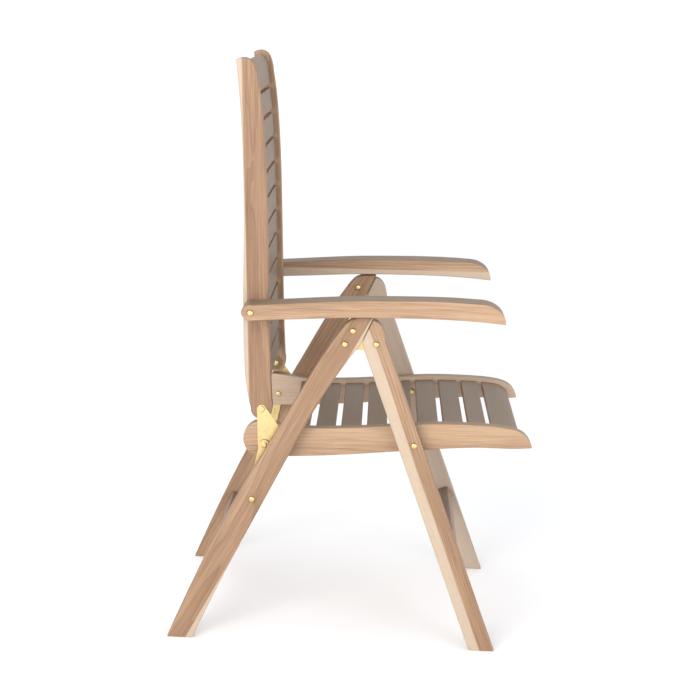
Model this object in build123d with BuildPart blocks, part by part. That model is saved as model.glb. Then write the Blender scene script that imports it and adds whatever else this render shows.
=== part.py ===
"""Folding reclining garden armchair in slatted teak with brass hinge fittings.

Frame: millimetres, +X towards the front of the seat, +Y towards the sitter's left, +Z up.
The origin is on the floor, under the middle of the chair's overall length and width.
Side views are drawn as (x, z) points. Side +1 is left and side -1 is right.
"""
import os
from math import cos, hypot, radians, sin

from build123d import *

os.makedirs("parts", exist_ok=True)

SIDES = {"left": 1, "right": -1}

# Layers across the chair: distance from the middle plane of each inner and outer face
RAIL_LAYER = (205.5, 227.5)
PLATE_LAYER = (227.5, 229.5)
LINK_LAYER = (232.7, 234.7)
SCREW_LAYER = (212.0, 229.5)
LEG_LAYER = (237.5, 262.5)
ARM_LAYER = (231.0, 287.0)
APEX_LAYER = (248.5, 251.5)
APEX_KERF = (248.0, 252.0)
HALF_WIDTH = RAIL_LAYER[0]

# Hinge points in the side view
FRONT_PIVOT = (36.6, 587.3)
SEAT_PIVOT = (115.4, 397.5)
LINK_FOOT = (-184.9, 280.5)
LINK_HEAD = (-166.6, 379.3)
BACK_PIVOT = (-174.0, 447.0)
ARM_PIVOT = (-196.5, 640.5)
APEX_BOLTS = [(-7.4, 610.7), (-21.5, 585.1)]
PLATE_SCREWS = [(-136.0, 393.5), (-148.0, 404.0)]

# Bolts, washers and play between moving parts
SHANK = 3.0
FIT = 0.05
HEAD = 6.0
HEAD_TALL = 4.2
HEAD_LOW = 2.3
DOME_SHARE = 0.85
PLAY = 0.3
WASHER = 8.0
BACK_WASHER = 14.0
BACK_WASHER_THICK = 2.5
SCREW = 2.5

# Brass plates
APEX_ROUND = 13.0
KERF_ROUND = 14.0
KERF_REACH = 72.0
KERF_AHEAD = 8.0
PLATE_ROUNDS = (8.5, 12.0, 9.5)
LINK_ROUND = 9.5

# Rounding of the wooden edges, and of the stile about its hinge
LEG_EDGE = 2.5
RAIL_EDGE = 2.0
ARM_EDGE = 3.0
SLAT_EDGE = 2.5
STRETCHER_EDGE = 5.0
STILE_FOOT = 20.0

# Cross members: slats and stretchers
SEAT_SLAT_THICK = 13.0
SEAT_SLAT_SINK = 8.0
SEAT_GAPS = [-122.7, -77.7, -30.1, 19.2, 67.6, 115.7, 165.6, 213.7, 257.8]
SEAT_GAP_REAR = 11.0
SEAT_GAP_FRONT = 9.5
BACK_SLAT_THICK = 14.0
BACK_SLAT_SINK = 10.0
BACK_GAPS = [1030.0, 979.0, 928.0, 877.0, 828.0, 778.0, 729.0, 677.0, 624.0, 577.0, 527.0]
BACK_GAP = 8.0
BACK_FOOT_Z = 482.0
LEG_LEAN = 21.3
FRONT_STRETCHER = ((197.0, 166.0), -LEG_LEAN, 27.0, 30.0)
REAR_STRETCHER = ((-253.0, 134.0), 25.5, 27.0, 30.0)

# Armrest lock notches
RECLINE_MAX = 30.0
NOTCH_COUNT = 5
NOTCH_ROUND = 7.0
NOTCH_LAYER = (236.0, 264.0)
NOTCH_START = (12.0, 639.5)

REAR_LEG_BACK = [
    (29.6, 636.5), (12.0, 637.0), (-8.0, 633.2), (-29.8, 611.0),
    (-129.4, 436.0), (-216.5, 277.5), (-273.8, 156.0), (-339.0, 0.0),
]
REAR_LEG_FRONT = [(-290.9, 0.0), (-220.5, 157.5), (-142.0, 319.5), (-14.8, 554.5), (7.0, 585.0)]
FRONT_LEG_JOINT = [(28.9, 632.5), (13.8, 597.0)]
FRONT_LEG_HEEL = (11.8, 587.3)
FRONT_LEG_BACK = [(13.5, 578.3), (238.4, 0.0)]
FRONT_LEG_FRONT = [(286.2, 0.0), (55.3, 590.6)]
SEAT_TOP = [
    (-173.0, 423.0), (-130.0, 418.4), (-81.3, 414.8), (-43.6, 416.0), (3.0, 419.0), (50.5, 423.4),
    (97.0, 428.6), (144.3, 432.6), (182.0, 434.2), (219.5, 434.4), (250.0, 434.0), (276.0, 432.6),
]
SEAT_NOSE = [(276.0, 432.6), (306.3, 427.8), (323.6, 419.4), (333.8, 407.0), (338.6, 394.0)]
SEAT_BOTTOM = [
    (338.6, 394.0), (316.0, 391.8), (240.7, 390.4), (165.5, 384.6),
    (90.3, 376.6), (-3.8, 366.4), (-98.3, 358.6), (-170.0, 355.2),
]
STILE_BACK = [
    (-194.0, 447.0), (-198.6, 465.0), (-206.0, 505.0), (-210.5, 559.0), (-214.8, 653.0), (-216.6, 766.0),
    (-220.6, 877.0), (-228.0, 986.0), (-235.7, 1058.0), (-240.5, 1095.0),
]
STILE_CROWN = [(-240.5, 1095.0), (-229.6, 1099.5), (-214.0, 1096.0), (-205.6, 1085.0), (-199.4, 1060.0)]
STILE_FRONT = [
    (-199.4, 1060.0), (-190.4, 1006.0), (-182.7, 934.0), (-176.0, 842.0), (-171.3, 750.0),
    (-166.5, 656.0), (-161.6, 561.0), (-155.2, 465.0),
]
ARM_TOP = [
    (-194.0, 655.6), (-150.0, 659.5), (-106.0, 663.5), (-15.0, 671.0), (76.0, 675.0), (167.0, 676.8),
    (222.0, 675.4),
]
ARM_NOSE = [(222.0, 675.4), (242.0, 673.0), (259.0, 664.5), (271.4, 645.0)]
ARM_HEEL = [(-207.5, 629.5), (-213.8, 641.0), (-208.0, 652.0)]
ARM_BOTTOM = [
    (272.0, 638.3), (224.0, 641.5), (151.0, 643.0), (78.0, 642.0), (-13.6, 639.0),
    (-105.0, 632.5), (-150.0, 629.3), (-193.0, 625.8),
]


def layer_plane(side, layer):
    """The side-view plane at a layer's face, from which an extrusion fills the layer."""
    return Plane.XZ.offset(layer[0]) if side < 0 else Plane.XZ.offset(-layer[1])


def depth(layer):
    return layer[1] - layer[0]


def save(part, name):
    part.label = name
    export_step(part, f"parts/{name}.step")


def closed_face(strokes):
    """A face inside joined strokes; a stroke of two points is straight, a longer one is curved."""
    with BuildSketch() as face:
        with BuildLine():
            for stroke in strokes:
                if len(stroke) == 2:
                    Line(*stroke)
                else:
                    Spline(*stroke)
        make_face()
    return face.sketch


def slab(face, side, layer):
    """A side-view face that fills one layer."""
    with BuildPart() as body:
        with BuildSketch(layer_plane(side, layer)):
            add(face)
        extrude(amount=depth(layer))
    return body.part


def rounded_slab(face, side, layer, radius):
    """A slab with all its side-view edges rounded; the right one mirrors the left one."""
    body = slab(face, 1, layer)
    rounded = body.fillet(radius, body.faces().filter_by(Axis.Y).edges())
    return rounded if side > 0 else rounded.mirror(Plane.XZ)


def rod(side, layer, points, radius):
    """Plain round bars through one layer, used as shanks, screws, spacers and cutters."""
    with BuildPart() as bars:
        with BuildSketch(layer_plane(side, layer)):
            with Locations(*points):
                Circle(radius)
        extrude(amount=depth(layer))
    return bars.part


def round_hull(rounds):
    """The outline wrapped about circles given as (point, radius)."""
    with BuildSketch() as hull:
        for point, radius in rounds:
            with Locations(point):
                Circle(radius)
        make_hull()
    return hull.sketch


def dome(side, point, reach, way, height):
    """A domed head that stands at a distance from the middle and faces out or in."""
    layer = (reach, reach + height) if way > 0 else (reach - height, reach)
    disc = rod(side, layer, [point], HEAD)
    rims = disc.edges().sort_by(Axis.Y)
    return disc.fillet(height * DOME_SHARE, [rims[-1] if side * way > 0 else rims[0]])


def bolt(side, point, inner, outer, inner_tall=HEAD_TALL, outer_tall=HEAD_TALL):
    """A through bolt with a domed head on each end."""
    shank = rod(side, (inner, outer), [point], SHANK)
    with BuildPart() as whole:
        add(shank)
        add(dome(side, point, inner, -1, inner_tall))
        add(dome(side, point, outer, 1, outer_tall))
    return whole.part


def washer(side, point, layer, radius=WASHER):
    """A ring that its bolt fills."""
    with BuildPart() as ring:
        with BuildSketch(layer_plane(side, layer)):
            with Locations(point):
                Circle(radius)
                Circle(SHANK, mode=Mode.SUBTRACT)
        extrude(amount=depth(layer))
    return ring.part


def rear_leg(side):
    """Curved leg that leans forward to the apex, slotted at the top for the apex plate."""
    floor = [REAR_LEG_BACK[-1], REAR_LEG_FRONT[0]]
    joint = [REAR_LEG_FRONT[-1], REAR_LEG_BACK[0]]
    face = closed_face([REAR_LEG_BACK, floor, REAR_LEG_FRONT, joint])
    apex_holes = rod(side, LEG_LAYER, APEX_BOLTS + [LINK_FOOT], SHANK)
    plate_slot = slab(apex_outline(), side, APEX_LAYER)
    with BuildPart() as leg:
        add(rounded_slab(face, side, LEG_LAYER, LEG_EDGE))
        add(apex_holes, mode=Mode.SUBTRACT)
        add(plate_slot, mode=Mode.SUBTRACT)
    return leg.part


def apex_outline():
    """Outline of the plate at the apex, also the shape of its slot."""
    return round_hull([(point, APEX_ROUND) for point in APEX_BOLTS + [FRONT_PIVOT]])


def apex_plate(side):
    """Flat plate bolted in the rear leg's slot, on which the front leg turns."""
    with BuildPart() as plate:
        add(slab(apex_outline(), side, APEX_LAYER))
        add(rod(side, APEX_LAYER, APEX_BOLTS + [FRONT_PIVOT], SHANK), mode=Mode.SUBTRACT)
    return plate.part


def apex_kerf(side):
    """Cutter for the round-bottomed saw slot that clears the apex plate as the front leg folds."""
    x, z = FRONT_PIVOT
    reach = KERF_REACH + KERF_AHEAD
    ahead = (x + reach * cos(radians(LEG_LEAN)), z + reach * sin(radians(LEG_LEAN)))
    with BuildPart() as kerf:
        with BuildSketch(layer_plane(side, APEX_KERF)):
            with Locations(FRONT_PIVOT):
                Circle(KERF_REACH)
            with Locations(ahead):
                Rectangle(2 * KERF_REACH, 3 * KERF_REACH, rotation=LEG_LEAN, mode=Mode.SUBTRACT)
            with Locations(FRONT_PIVOT):
                Circle(KERF_ROUND)
        extrude(amount=depth(APEX_KERF))
    return kerf.part


def front_leg(side):
    """Straight leg whose top end meets the rear leg along a slanting joint."""
    top = [FRONT_LEG_FRONT[-1], (51.0, 611.0), (44.0, 624.0), FRONT_LEG_JOINT[0]]
    heel = [FRONT_LEG_JOINT[-1], FRONT_LEG_HEEL, FRONT_LEG_BACK[0]]
    floor = [FRONT_LEG_BACK[-1], FRONT_LEG_FRONT[0]]
    face = closed_face([top, FRONT_LEG_JOINT, heel, FRONT_LEG_BACK, floor, FRONT_LEG_FRONT])
    with BuildPart() as leg:
        add(rounded_slab(face, side, LEG_LAYER, LEG_EDGE))
        add(apex_kerf(side), mode=Mode.SUBTRACT)
        add(rod(side, LEG_LAYER, [FRONT_PIVOT], SHANK + FIT), mode=Mode.SUBTRACT)
        add(rod(side, LEG_LAYER, [SEAT_PIVOT], SHANK), mode=Mode.SUBTRACT)
    return leg.part


def stretcher(spec):
    """A rounded bar between two legs, set square to them."""
    (x, z), lean, thick, tall = spec
    along = (cos(radians(lean)), 0, -sin(radians(lean)))
    with BuildPart() as bar:
        with BuildSketch(Plane(origin=(x, 0, z), x_dir=along, z_dir=(0, -1, 0))):
            RectangleRounded(thick, tall, STRETCHER_EDGE)
        extrude(amount=LEG_LAYER[0], both=True)
    return bar.part


def seat_rail(side):
    """Side rail of the seat: round at the rear, dished on top and rolled over at the front."""
    rear = [SEAT_BOTTOM[-1], (-197.0, 365.0), (-207.0, 389.0), (-197.0, 413.5), SEAT_TOP[0]]
    face = closed_face([SEAT_TOP, SEAT_NOSE, SEAT_BOTTOM, rear])
    with BuildPart() as rail:
        add(rounded_slab(face, side, RAIL_LAYER, RAIL_EDGE))
        add(rod(side, SCREW_LAYER, PLATE_SCREWS, SCREW), mode=Mode.SUBTRACT)
        add(rod(side, RAIL_LAYER, [LINK_HEAD], SHANK), mode=Mode.SUBTRACT)
        add(rod(side, RAIL_LAYER, [SEAT_PIVOT], SHANK + FIT), mode=Mode.SUBTRACT)
    return rail.part


def height_on(points, x):
    """Height of a measured line of points at a place along it."""
    for (x0, z0), (x1, z1) in zip(points, points[1:]):
        if x <= x1:
            return z0 + (z1 - z0) * (x - x0) / (x1 - x0)
    return points[-1][1]


def bar_on_line(foot, head, sink, thick, edge):
    """A bar between the sides, laid below the straight line from foot to head by its sink."""
    length = hypot(head[0] - foot[0], head[1] - foot[1])
    ux, uz = (head[0] - foot[0]) / length, (head[1] - foot[1]) / length
    drop = sink + thick / 2
    middle = ((foot[0] + head[0]) / 2 + uz * drop, 0, (foot[1] + head[1]) / 2 - ux * drop)
    with BuildPart() as bar:
        with BuildSketch(Plane(origin=middle, x_dir=(ux, 0, uz), z_dir=(0, -1, 0))):
            RectangleRounded(length, thick, edge)
        extrude(amount=HALF_WIDTH, both=True)
    return bar.part


def seat_slats():
    """Slats from the first gap to the last one, in order from the rear."""
    count = len(SEAT_GAPS)
    narrowing = (SEAT_GAP_REAR - SEAT_GAP_FRONT) / (count - 1)
    halves = [(SEAT_GAP_REAR - narrowing * number) / 2 for number in range(count)]
    starts = [gap + half for gap, half in zip(SEAT_GAPS, halves)]
    ends = [gap - half for gap, half in zip(SEAT_GAPS, halves)]
    slats = []
    for start, end in zip(starts, ends[1:]):
        foot, head = (start, height_on(SEAT_TOP, start)), (end, height_on(SEAT_TOP, end))
        slats.append(bar_on_line(foot, head, SEAT_SLAT_SINK, SEAT_SLAT_THICK, SLAT_EDGE))
    return slats


def seat_front_slat():
    """The front slat, bent over the front like the rails' noses."""
    upper = [(263.0, 425.5), (276.0, 424.4), (298.0, 421.0), (311.0, 414.0), (318.0, 404.5)]
    tip = [(318.0, 404.5), (305.0, 401.0)]
    under = [(305.0, 401.0), (295.0, 407.5), (274.0, 411.4), (263.0, 412.4)]
    with BuildPart() as slat:
        with BuildSketch(Plane.XZ):
            add(closed_face([upper, tip, under, [under[-1], upper[0]]]))
        extrude(amount=HALF_WIDTH, both=True)
    return slat.part


def seat_plate(side):
    """Brass plate on the rail's rear end, which carries the backrest's hinge and the link."""
    corners = [BACK_PIVOT, LINK_HEAD, PLATE_SCREWS[0]]
    with BuildPart() as plate:
        add(slab(round_hull(zip(corners, PLATE_ROUNDS)), side, PLATE_LAYER))
        add(rod(side, PLATE_LAYER, PLATE_SCREWS, SCREW), mode=Mode.SUBTRACT)
        add(rod(side, PLATE_LAYER, [BACK_PIVOT, LINK_HEAD], SHANK + FIT), mode=Mode.SUBTRACT)
    return plate.part


def link(side):
    """Brass strap from the rear leg to the seat plate."""
    with BuildPart() as strap:
        add(slab(round_hull([(LINK_HEAD, LINK_ROUND), (LINK_FOOT, LINK_ROUND)]), side, LINK_LAYER))
        add(rod(side, LINK_LAYER, [LINK_FOOT], SHANK + FIT), mode=Mode.SUBTRACT)
        add(rod(side, LINK_LAYER, [LINK_HEAD], SHANK), mode=Mode.SUBTRACT)
    return strap.part


def link_bolt(side):
    """Head and stub of the bolt at the link's upper end, fixed in the link."""
    stub = rod(side, (PLATE_LAYER[1] + PLAY, LINK_LAYER[1]), [LINK_HEAD], SHANK)
    with BuildPart() as whole:
        add(stub)
        add(dome(side, LINK_HEAD, LINK_LAYER[1], 1, HEAD_LOW))
    return whole.part


def seat_stud(side):
    """The same bolt's inner end, through the rail and the seat plate."""
    shank = rod(side, (RAIL_LAYER[0], PLATE_LAYER[1]), [LINK_HEAD], SHANK)
    with BuildPart() as whole:
        add(shank)
        add(dome(side, LINK_HEAD, RAIL_LAYER[0], -1, HEAD_TALL))
    return whole.part


def stile(side):
    """Side member of the backrest: round about its hinge and swept back towards the top."""
    x, z = BACK_PIVOT
    corner = STILE_FOOT * cos(radians(45))
    foot = [
        STILE_FRONT[-1], (x + STILE_FOOT, z), (x + corner, z - corner), (x, z - STILE_FOOT),
        (x - corner, z - corner), STILE_BACK[0],
    ]
    face = closed_face([STILE_BACK, STILE_CROWN, STILE_FRONT, foot])
    with BuildPart() as post:
        add(rounded_slab(face, side, RAIL_LAYER, RAIL_EDGE))
        add(rod(side, RAIL_LAYER, [BACK_PIVOT, ARM_PIVOT], SHANK + FIT), mode=Mode.SUBTRACT)
    return post.part


def back_front_x(z):
    """The backrest's front edge at a height."""
    front = sorted((height, x) for x, height in STILE_FRONT)
    return height_on(front, z)


def back_bars():
    """Slats of the backrest from the lowest upwards; the first is the bottom rail."""
    gaps = sorted(BACK_GAPS)
    lows = [BACK_FOOT_Z] + [gap + BACK_GAP / 2 for gap in gaps[:-1]]
    highs = [gap - BACK_GAP / 2 for gap in gaps]
    bars = []
    for low, high in zip(lows, highs):
        foot, head = (back_front_x(high), high), (back_front_x(low), low)
        bars.append(bar_on_line(head, foot, -BACK_SLAT_SINK - BACK_SLAT_THICK, BACK_SLAT_THICK, SLAT_EDGE))
    return bars


def back_top_rail():
    """Top rail of the backrest, rounded over like the stiles' crowns."""
    front = [(-205.2, 1034.0), (-207.8, 1052.0), (-211.0, 1069.0), (-216.5, 1085.0), (-227.0, 1091.5)]
    rear = [(-236.0, 1087.0), (-231.0, 1055.0), (-226.5, 1034.0)]
    with BuildPart() as rail:
        with BuildSketch(Plane.XZ):
            add(closed_face([front, [front[-1], rear[0]], rear, [rear[-1], front[0]]]))
        extrude(amount=HALF_WIDTH, both=True)
    return rail.part


def turned(point, centre, degrees):
    """A point of the side view turned about a centre, positive from +X towards +Z."""
    x, z = point[0] - centre[0], point[1] - centre[1]
    c, s = cos(radians(degrees)), sin(radians(degrees))
    return (centre[0] + c * x - s * z, centre[1] + s * x + c * z)


def notch_points():
    """Where the leg's peak lies under the armrest at each backrest position."""
    points = []
    for step in range(NOTCH_COUNT):
        moved = turned(ARM_PIVOT, BACK_PIVOT, RECLINE_MAX * step / (NOTCH_COUNT - 1))
        x = NOTCH_START[0] + ARM_PIVOT[0] - moved[0]
        points.append((x, height_on(sorted(ARM_BOTTOM), x)))
    return points


def armrest(side):
    """Wide curved arm that turns on the stile and rests on the leg tops, notched underneath."""
    rear = [ARM_BOTTOM[-1], *ARM_HEEL, ARM_TOP[0]]
    tip = [ARM_NOSE[-1], ARM_BOTTOM[0]]
    face = closed_face([ARM_TOP, ARM_NOSE, tip, ARM_BOTTOM, rear])
    notches = rod(side, NOTCH_LAYER, notch_points(), NOTCH_ROUND)
    hole = rod(side, ARM_LAYER, [ARM_PIVOT], SHANK + FIT)
    with BuildPart() as arm:
        add(rounded_slab(face, side, ARM_LAYER, ARM_EDGE))
        add(notches, mode=Mode.SUBTRACT)
        add(hole, mode=Mode.SUBTRACT)
    return arm.part


def save_group(parts, name):
    """Identical fasteners share one file as separate solids."""
    save(Compound(children=parts), name)


for label, side in SIDES.items():
    save(rear_leg(side), f"rear_leg_{label}")
    save(apex_plate(side), f"apex_plate_{label}")
    save(front_leg(side), f"front_leg_{label}")
    save(seat_rail(side), f"seat_rail_{label}")
    save(seat_plate(side), f"seat_plate_{label}")
    save(link(side), f"link_{label}")
    save(stile(side), f"back_stile_{label}")
    save(armrest(side), f"armrest_{label}")
    arm_reach = (RAIL_LAYER[0] - PLAY, ARM_LAYER[1] + PLAY)
    save(bolt(side, ARM_PIVOT, *arm_reach), f"arm_bolt_{label}")
    save(washer(side, ARM_PIVOT, (RAIL_LAYER[1] + PLAY, ARM_LAYER[0] - PLAY)), f"arm_spacer_{label}")

save(stretcher(REAR_STRETCHER), "rear_stretcher")
save(stretcher(FRONT_STRETCHER), "front_stretcher")
for number, slat in enumerate(seat_slats(), start=1):
    save(slat, f"seat_slat_{number}")
save(seat_front_slat(), f"seat_slat_{len(SEAT_GAPS)}")
bottom_rail, *slats = back_bars()
save(bottom_rail, "back_bottom_rail")
for number, slat in enumerate(slats, start=1):
    save(slat, f"back_slat_{number}")
save(back_top_rail(), "back_top_rail")

BOTH = list(SIDES.values())
save_group([bolt(s, p, *LEG_LAYER) for s in BOTH for p in APEX_BOLTS], "apex_bolts")
turning = (LEG_LAYER[0] - PLAY, LEG_LAYER[1] + PLAY)
save_group([bolt(s, FRONT_PIVOT, *turning) for s in BOTH], "front_leg_pivot_bolts")
seat_reach = (RAIL_LAYER[0] - PLAY, LEG_LAYER[1])
save_group([bolt(s, SEAT_PIVOT, *seat_reach) for s in BOTH], "seat_pivot_bolts")
seat_gap = (RAIL_LAYER[1] + PLAY, LEG_LAYER[0])
save_group([washer(s, SEAT_PIVOT, seat_gap) for s in BOTH], "seat_pivot_spacers")
foot_reach = (LINK_LAYER[0] - PLAY, LEG_LAYER[1])
save_group([bolt(s, LINK_FOOT, *foot_reach, inner_tall=HEAD_LOW) for s in BOTH], "link_pivot_bolts")
foot_gap = (LINK_LAYER[1] + PLAY, LEG_LAYER[0])
save_group([washer(s, LINK_FOOT, foot_gap) for s in BOTH], "link_pivot_spacers")
save_group([link_bolt(s) for s in BOTH], "link_bolts")
save_group([seat_stud(s) for s in BOTH], "link_bolt_inner_ends")
save_group([rod(s, SCREW_LAYER, [p], SCREW) for s in BOTH for p in PLATE_SCREWS], "plate_screws")
back_washer = (RAIL_LAYER[0] - PLAY - BACK_WASHER_THICK, RAIL_LAYER[0] - PLAY)
save_group([washer(s, BACK_PIVOT, back_washer, BACK_WASHER) for s in BOTH], "back_pivot_washers")
back_reach = (back_washer[0], PLATE_LAYER[1] + PLAY)
save_group([bolt(s, BACK_PIVOT, *back_reach, outer_tall=HEAD_LOW) for s in BOTH], "back_pivot_bolts")
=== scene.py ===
"""Looks of a folding teak armchair: oiled wood grain, brass fittings, studio light and camera."""
from math import cos, radians, sin

import bpy
from mathutils import Euler, Matrix, Vector


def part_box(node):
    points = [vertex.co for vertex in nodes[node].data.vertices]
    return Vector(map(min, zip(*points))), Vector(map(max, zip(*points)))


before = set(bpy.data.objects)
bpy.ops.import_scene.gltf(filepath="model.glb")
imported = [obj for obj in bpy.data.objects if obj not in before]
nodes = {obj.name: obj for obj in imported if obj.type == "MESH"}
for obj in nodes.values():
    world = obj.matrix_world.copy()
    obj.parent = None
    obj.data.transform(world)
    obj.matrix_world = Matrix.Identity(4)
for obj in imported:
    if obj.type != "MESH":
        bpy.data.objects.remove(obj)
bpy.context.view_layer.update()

# Directions along the grain, as degrees from +X towards +Z in the side view
REAR_LEG_GRAIN = 62.5
FRONT_LEG_GRAIN = 110.9
STILE_GRAIN = 93.0
RAIL_GRAIN = 2.5
ARM_GRAIN = 1.0
ACROSS = None

# Colours, linear
HEART_DARK = (0.14, 0.072, 0.038)
HEART_MID = (0.25, 0.145, 0.084)
HEART_LIGHT = (0.41, 0.272, 0.168)
SAPWOOD = (0.46, 0.375, 0.29)
FADED = (0.42, 0.36, 0.30)
# Painted shade: the dark grey-brown mixed into faces that look up, or into the front faces of the
# backrest
PAINTED_SHADE_GREY = (0.18, 0.130, 0.086)
BRASS = (0.66, 0.50, 0.24)
BRASS_DARK = (0.42, 0.30, 0.13)
BRONZE = (0.20, 0.14, 0.085)
BRONZE_DARK = (0.11, 0.078, 0.05)
FLOOR = (0.96, 0.96, 0.96)

# Grain sizes, in cycles per metre along and across the grain
BROAD = (1.4, 16.0)
WARP = (2.2, 11.0)
FIBRE = (10.0, 620.0)
PORE = (55.0, 1500.0)
RING_SPACING = 0.0052
WAVE_PERIOD = 0.314

# Grain strengths
RING_CONTRAST = 0.20
FIBRE_CONTRAST = 0.20
PATCH_CONTRAST = 0.20
PORE_CONTRAST = 0.30
RING_SWAY = (0.0, 0.032, 0.024)
SAP_STRENGTH = 0.9
BUMP_DEPTH = 0.0005
BUMP_STRENGTH = 0.35

# Metal patterns, in cycles per metre along and across, and the scratches' depth in metres
HANDLING = (90.0, 90.0)
SCRATCHES = (260.0, 2600.0)
SCRATCH_DEPTH = 0.00003

# Sapwood lines: places across the grain, or points that they pass through, in metres
REAR_LEG_SAP_PLACE = 0.2705
STILE_SAP_POINT = (-0.2305, 1.097)
ARM_SAP_POINT = (0.0, 0.651)

# Studio light, in watts and as a multiple for the sky
KEY_POWER = 140.0
FILL_POWER = 48.0
SKY_STRENGTH = 1.48

# Camera, in metres and radians
CAMERA_AT = (0.0362, -3.5225, 1.2283)
CAMERA_YAW = -0.01463
CAMERA_PITCH = 0.19782
CAMERA_ROLL = 0.04142
CAMERA_LENS = 92.46


class Tree:
    """A short way to add and join nodes in a material."""

    def __init__(self, material):
        material.use_nodes = True
        self.tree = material.node_tree
        self.tree.nodes.clear()

    def add(self, kind, **settings):
        node = self.tree.nodes.new("ShaderNode" + kind)
        for key, value in settings.items():
            setattr(node, key, value)
        return node

    def join(self, source, target):
        self.tree.links.new(source, target)

    def value(self, socket, source):
        """Feeds a socket from another socket, or sets it to a plain value."""
        if isinstance(source, bpy.types.NodeSocket):
            self.join(source, socket)
        else:
            socket.default_value = source

    def math(self, operation, first, second=0.0, clamp=False):
        node = self.add("Math", operation=operation, use_clamp=clamp)
        self.value(node.inputs[0], first)
        self.value(node.inputs[1], second)
        return node.outputs[0]

    def mix(self, factor, first, second):
        """A colour between two, each a socket or an RGB tuple."""
        node = self.add("Mix", data_type="RGBA")
        self.value(node.inputs["Factor"], factor)
        for socket, source in ((node.inputs[6], first), (node.inputs[7], second)):
            self.value(socket, (*source, 1.0) if isinstance(source, tuple) else source)
        return node.outputs[2]

    def noise(self, vector, detail=3.0, rough=0.55):
        node = self.add("TexNoise")
        self.join(vector, node.inputs["Vector"])
        node.inputs["Scale"].default_value = 1.0
        node.inputs["Detail"].default_value = detail
        node.inputs["Roughness"].default_value = rough
        return node.outputs["Fac"]

    def scaled(self, vector, along, across):
        node = self.add("Mapping")
        self.join(vector, node.inputs["Vector"])
        node.inputs["Scale"].default_value = (along, across, across)
        return node.outputs["Vector"]

    def moved(self, vector, shift):
        node = self.add("VectorMath", operation="ADD")
        self.join(vector, node.inputs[0])
        node.inputs[1].default_value = shift
        return node.outputs[0]

    def surface(self, colour, roughness, height=None, depth=0.0, metallic=0.0, specular=0.35):
        """The finished surface, with its height pattern as a bump of that depth in metres."""
        shader = self.add("BsdfPrincipled")
        self.value(shader.inputs["Base Color"], (*colour, 1.0) if isinstance(colour, tuple) else colour)
        self.value(shader.inputs["Roughness"], roughness)
        shader.inputs["Metallic"].default_value = metallic
        shader.inputs["Specular IOR Level"].default_value = specular
        if height:
            bump = self.add("Bump")
            self.join(height, bump.inputs["Height"])
            bump.inputs["Strength"].default_value = BUMP_STRENGTH
            bump.inputs["Distance"].default_value = depth
            self.join(bump.outputs[0], shader.inputs["Normal"])
        output = self.add("OutputMaterial")
        self.join(shader.outputs[0], output.inputs["Surface"])

    def stretch(self, source, low, high, bottom=0.0, top=1.0):
        """Maps low..high to bottom..top, clamped."""
        node = self.add("MapRange", clamp=True)
        self.value(node.inputs["Value"], source)
        for name, number in (("From Min", low), ("From Max", high), ("To Min", bottom), ("To Max", top)):
            node.inputs[name].default_value = number
        return node.outputs["Result"]


def grain_turn(angle):
    """The rotation that turns the grain's direction to X."""
    return (0.0, 0.0, radians(-90.0)) if angle is ACROSS else (0.0, radians(angle), 0.0)


def across_grain(angle, x, z):
    """Place across the grain of a point of the side view, in metres."""
    return -x * sin(radians(angle)) + z * cos(radians(angle))


def growth_rings(t, aligned, middle, seed, broad, warp):
    """Rings about a heart line that lies beside the board and sways along it."""
    heart = (0.09 + 0.05 * sin(seed * 1.7), 0.05 + 0.05 * cos(seed * 2.3))
    centred = t.moved(t.scaled(aligned, 0.12, 1.0), (0.0, heart[0] - middle.y, heart[1] - middle.z))
    sway = t.add("CombineXYZ")
    t.join(t.math("SUBTRACT", warp, 0.5), sway.inputs["Y"])
    t.join(t.math("SUBTRACT", broad, 0.5), sway.inputs["Z"])
    swayed = t.add("VectorMath", operation="MULTIPLY_ADD")
    t.join(sway.outputs[0], swayed.inputs[0])
    swayed.inputs[1].default_value = RING_SWAY
    t.join(centred, swayed.inputs[2])
    rings = t.add("TexWave", wave_type="RINGS", rings_direction="X", wave_profile="SAW")
    t.join(swayed.outputs[0], rings.inputs["Vector"])
    rings.inputs["Scale"].default_value = WAVE_PERIOD / RING_SPACING
    rings.inputs["Distortion"].default_value = 0.4
    rings.inputs["Detail"].default_value = 2.0
    rings.inputs["Detail Scale"].default_value = 0.5
    return rings.outputs["Fac"]


def heartwood(t, tone, lines, fibre, broad):
    """Brown heartwood, darker along the ring lines and lighter in streaks and patches."""
    streaks = t.stretch(fibre, 0.33, 0.68, -FIBRE_CONTRAST, FIBRE_CONTRAST)
    patches = t.stretch(broad, 0.32, 0.70, -PATCH_CONTRAST, PATCH_CONTRAST)
    base = t.math("SUBTRACT", 0.56 + tone, lines)
    shade = t.math("ADD", t.math("ADD", base, streaks), patches, clamp=True)
    ramp = t.add("ValToRGB")
    t.join(shade, ramp.inputs["Fac"])
    stops = ramp.color_ramp.elements
    stops[0].position, stops[0].color = 0.0, (*HEART_DARK, 1.0)
    stops[1].position, stops[1].color = 1.0, (*HEART_LIGHT, 1.0)
    stops.new(0.5).color = (*HEART_MID, 1.0)
    return ramp.outputs["Color"]


def with_sapwood(t, colour, aligned, warp, fibre, sap):
    """Pale sapwood on one side of a slightly wavy line along the grain."""
    place, sign, width = sap
    split = t.add("SeparateXYZ")
    t.join(aligned, split.inputs[0])
    wave = t.math("MULTIPLY", t.math("SUBTRACT", warp, 0.5), width)
    side = t.math("SUBTRACT", t.math("ADD", wave, split.outputs["Z"]), place)
    mask = t.stretch(t.math("MULTIPLY", side, float(sign)), -0.001, 0.0015, 0.0, SAP_STRENGTH)
    pale = t.mix(t.stretch(fibre, 0.35, 0.68, 0.35, 0.0), SAPWOOD, HEART_LIGHT)
    return t.mix(mask, colour, pale)


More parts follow.
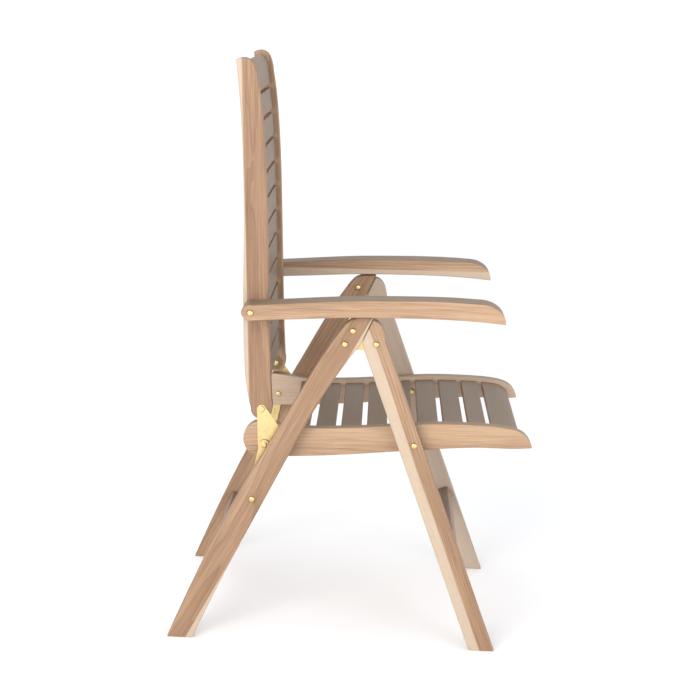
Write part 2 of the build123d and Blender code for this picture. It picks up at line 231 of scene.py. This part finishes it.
def paint_face_shade(t, colour, normal, fibre, weather, facing):
    """Painted shade: greys and darkens the faces that look along one axis."""
    split = t.add("SeparateXYZ")
    t.join(normal, split.inputs[0])
    shaded_face = t.stretch(split.outputs[facing], 0.35, 0.85, 0.0, weather)
    dark, light = (tuple(factor * c for c in PAINTED_SHADE_GREY) for factor in (0.72, 1.25))
    return t.mix(shaded_face, colour, t.mix(t.stretch(fibre, 0.3, 0.7), dark, light))


def teak(node, angle, seed, tone=0.0, sap=None, weather=0.0, facing="Z", fade=0.0):
    """Oiled teak for one board, with its grain along the board.

    tone lightens or darkens the board. sap is (place across the grain, sign, waviness): sapwood lies
    on the signed side of that place. The shade weight paints shade: it greys and darkens the faces that
    look along the facing axis. fade greys the whole board.
    """
    material = bpy.data.materials.new("teak_" + node)
    t = Tree(material)
    coords = t.add("TexCoord")
    turn = t.add("Mapping")
    t.join(coords.outputs["Object"], turn.inputs["Vector"])
    turn.inputs["Rotation"].default_value = grain_turn(angle)
    aligned = turn.outputs["Vector"]
    shifted = t.moved(aligned, (seed * 3.17, seed * 1.31, seed * 2.07))
    broad = t.noise(t.scaled(shifted, *BROAD), 2.0)
    warp = t.noise(t.scaled(shifted, *WARP), 3.0, 0.5)
    fibre = t.noise(t.scaled(shifted, *FIBRE), 4.0, 0.65)
    pore = t.noise(t.scaled(shifted, *PORE), 2.0)

    low, high = (Vector(corner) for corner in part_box(node))
    middle = Euler(grain_turn(angle)).to_matrix() @ ((low + high) / 2)
    ring = growth_rings(t, aligned, middle, seed, broad, warp)
    lines = t.math("MULTIPLY", t.math("POWER", ring, 3.0), RING_CONTRAST)
    colour = heartwood(t, tone, lines, fibre, broad)
    if sap:
        colour = with_sapwood(t, colour, aligned, warp, fibre, sap)
    colour = t.mix(t.stretch(pore, 0.60, 0.72, 0.0, PORE_CONTRAST), colour, HEART_DARK)
    if fade:
        colour = t.mix(fade, colour, FADED)
    # Painted shade on the faces that look along the facing axis
    if weather:
        colour = paint_face_shade(t, colour, coords.outputs["Normal"], fibre, weather, facing)

    height = t.math("SUBTRACT", t.math("MULTIPLY", fibre, 0.7), t.math("MULTIPLY", ring, 0.15))
    roughness = t.stretch(fibre, 0.3, 0.7, 0.46, 0.62)
    t.surface(colour, roughness, height, BUMP_DEPTH)
    return material


def metal(name, light, dark):
    """Worn metal with fine scratches and darker patches of handling."""
    material = bpy.data.materials.new(name)
    t = Tree(material)
    coords = t.add("TexCoord").outputs["Object"]
    patches = t.noise(t.scaled(coords, *HANDLING), 3.0)
    scratches = t.noise(t.scaled(coords, *SCRATCHES), 2.0)
    colour = t.mix(t.stretch(patches, 0.45, 0.75, 0.0, 0.4), light, dark)
    roughness = t.stretch(patches, 0.3, 0.7, 0.24, 0.40)
    t.surface(colour, roughness, scratches, SCRATCH_DEPTH, metallic=1.0)
    return material


def paint(node, material):
    """Gives a CAD node one material in all its slots."""
    slots = nodes[node].data.materials
    if not slots:
        slots.append(material)
    for index in range(len(slots)):
        slots[index] = material


def sapwood_share(angle, rear, front, share, sign, waviness):
    """Sapwood line at a share of a board's width, given its two edges at one place."""
    start, end = across_grain(angle, *rear), across_grain(angle, *front)
    return start + (end - start) * share, sign, waviness


def slat_board(node):
    """Slats differ a little from each other and carry painted shade on the side that faces the sitter.
    """
    number = int(node.rsplit("_", 1)[1])
    seat = node.startswith("seat")
    phase = 1.0 if seat else 0.0
    seed = 20.0 + number + 15.0 * phase
    tone = 0.07 * sin(2.4 * number + phase)
    return {"angle": ACROSS, "seed": seed, "tone": tone, "weather": 0.8, "facing": "Z" if seat else "X"}


def paint_wood():
    """Each wooden node has its own board: its grain runs along it, with its own seed and tone."""
    rear_sap = REAR_LEG_SAP_PLACE, -1, 0.005
    front_sap = sapwood_share(FRONT_LEG_GRAIN, (0.124, 0.3), (0.170, 0.3), 0.44, 1, 0.014)
    stile_sap = across_grain(STILE_GRAIN, *STILE_SAP_POINT), 1, 0.006
    arm_sap = across_grain(ARM_GRAIN, *ARM_SAP_POINT), -1, 0.012
    # The shade weights below paint shade on the faces that look up, or on the front faces of the
    # backrest rails and slats
    boards = {
        "rear_leg_right": {"angle": REAR_LEG_GRAIN, "seed": 1.0, "tone": 0.08, "sap": rear_sap},
        "rear_leg_left": {"angle": REAR_LEG_GRAIN, "seed": 2.0, "tone": 0.05},
        "front_leg_right": {"angle": FRONT_LEG_GRAIN, "seed": 3.0, "tone": 0.2, "sap": front_sap},
        "front_leg_left": {"angle": FRONT_LEG_GRAIN, "seed": 4.0, "tone": 0.2, "fade": 0.6},
        "seat_rail_right": {"angle": RAIL_GRAIN, "seed": 5.0, "tone": 0.3, "weather": 0.5},
        "seat_rail_left": {"angle": RAIL_GRAIN, "seed": 6.0, "tone": 0.4, "weather": 0.5, "fade": 0.4},
        "back_stile_right": {
            "angle": STILE_GRAIN, "seed": 7.0, "tone": 0.05, "sap": stile_sap, "weather": 0.6,
        },
        "back_stile_left": {"angle": STILE_GRAIN, "seed": 8.0, "tone": 0.12, "weather": 0.4},
        "armrest_right": {"angle": ARM_GRAIN, "seed": 9.0, "tone": 0.27, "weather": 0.75},
        "armrest_left": {"angle": ARM_GRAIN, "seed": 10.0, "tone": 0.2, "sap": arm_sap, "weather": 0.8},
        "front_stretcher": {"angle": ACROSS, "seed": 11.0, "weather": 0.7},
        "rear_stretcher": {"angle": ACROSS, "seed": 12.0, "tone": -0.03, "weather": 0.7},
        "back_top_rail": {"angle": ACROSS, "seed": 13.0, "weather": 0.8, "facing": "X"},
        "back_bottom_rail": {"angle": ACROSS, "seed": 14.0, "weather": 0.8, "facing": "X"},
    }
    for node in nodes:
        if "_slat_" in node:
            boards[node] = slat_board(node)
    for node, board in boards.items():
        paint(node, teak(node, **board))
    return set(boards)


def paint_metal(others):
    """The washers inside the backrest have darkened; all the other fittings are brass."""
    brass = metal("brass", BRASS, BRASS_DARK)
    bronze = metal("bronze", BRONZE, BRONZE_DARK)
    for node in others:
        paint(node, bronze if node == "back_pivot_washers" else brass)


def backdrop():
    """A pale floor that sweeps up into a wall behind the chair."""
    width, front, bend, radius, top = 16.0, -9.0, 5.0, 2.5, 9.0
    profile = [(front, 0.0), (bend, 0.0)]
    steps = 16
    for step in range(1, steps + 1):
        turn = radians(90.0 * step / steps)
        profile.append((bend + radius * sin(turn), radius * (1 - cos(turn))))
    profile.append((bend + radius, top))
    points = [(side * width, y, z) for y, z in profile for side in (-1, 1)]
    faces = [(2 * n, 2 * n + 1, 2 * n + 3, 2 * n + 2) for n in range(len(profile) - 1)]
    mesh = bpy.data.meshes.new("studio_floor")
    mesh.from_pydata(points, [], faces)
    mesh.polygons.foreach_set("use_smooth", [True] * len(faces))
    floor = bpy.data.objects.new("studio_floor", mesh)
    bpy.context.scene.collection.objects.link(floor)
    material = bpy.data.materials.new("studio_floor")
    Tree(material).surface(FLOOR, 0.9, specular=0.1)
    mesh.materials.append(material)


def softbox(name, place, target, size, power, colour=(1.0, 1.0, 1.0)):
    """A square area light that faces a point."""
    data = bpy.data.lights.new(name, "AREA")
    data.shape = "SQUARE"
    data.size = size
    data.energy = power
    data.color = colour
    lamp = bpy.data.objects.new(name, data)
    lamp.location = place
    lamp.rotation_euler = (Vector(target) - Vector(place)).to_track_quat("-Z", "Y").to_euler()
    bpy.context.scene.collection.objects.link(lamp)


def studio_light():
    """Soft light mostly from the viewer's side, with a dimmer, cooler sky."""
    softbox("key", (-1.6, -4.2, 1.9), (0.0, 0.0, 0.5), 2.6, KEY_POWER, (1.0, 0.985, 0.96))
    softbox("fill", (2.6, -3.4, 1.2), (0.0, 0.0, 0.5), 2.2, FILL_POWER)
    world = bpy.data.worlds.new("studio")
    bpy.context.scene.world = world
    world.use_nodes = True
    tree = world.node_tree
    tree.nodes.clear()
    coords = tree.nodes.new("ShaderNodeTexCoord")
    split = tree.nodes.new("ShaderNodeSeparateXYZ")
    ramp = tree.nodes.new("ShaderNodeValToRGB")
    background = tree.nodes.new("ShaderNodeBackground")
    output = tree.nodes.new("ShaderNodeOutputWorld")
    tree.links.new(coords.outputs["Generated"], split.inputs[0])
    tree.links.new(split.outputs["Z"], ramp.inputs["Fac"])
    tree.links.new(ramp.outputs["Color"], background.inputs["Color"])
    tree.links.new(background.outputs[0], output.inputs["Surface"])
    stops = ramp.color_ramp.elements
    stops[0].position, stops[0].color = 0.0, (1.0, 1.0, 1.0, 1.0)
    stops[1].position, stops[1].color = 0.75, (0.56, 0.57, 0.59, 1.0)
    background.inputs["Strength"].default_value = SKY_STRENGTH


def camera():
    """The viewer's camera: nearly side on, a little above the arms and turned slightly."""
    yaw, pitch, roll = CAMERA_YAW, CAMERA_PITCH, CAMERA_ROLL
    forward = Vector((sin(yaw) * cos(pitch), cos(yaw) * cos(pitch), -sin(pitch)))
    right = Vector((cos(yaw), -sin(yaw), 0.0))
    up = right.cross(forward)
    rolled_right = cos(roll) * right + sin(roll) * up
    rolled_up = -sin(roll) * right + cos(roll) * up
    turn = Matrix((rolled_right, rolled_up, -forward)).transposed()
    data = bpy.data.cameras.new("camera")
    data.sensor_width = 36.0
    data.lens = CAMERA_LENS
    viewer = bpy.data.objects.new("camera", data)
    viewer.matrix_world = Matrix.Translation(CAMERA_AT) @ turn.to_4x4()
    bpy.context.scene.collection.objects.link(viewer)
    bpy.context.scene.camera = viewer


wooden = paint_wood()
paint_metal(set(nodes) - wooden)
backdrop()
studio_light()
camera()
bpy.context.scene.view_settings.view_transform = "Standard"
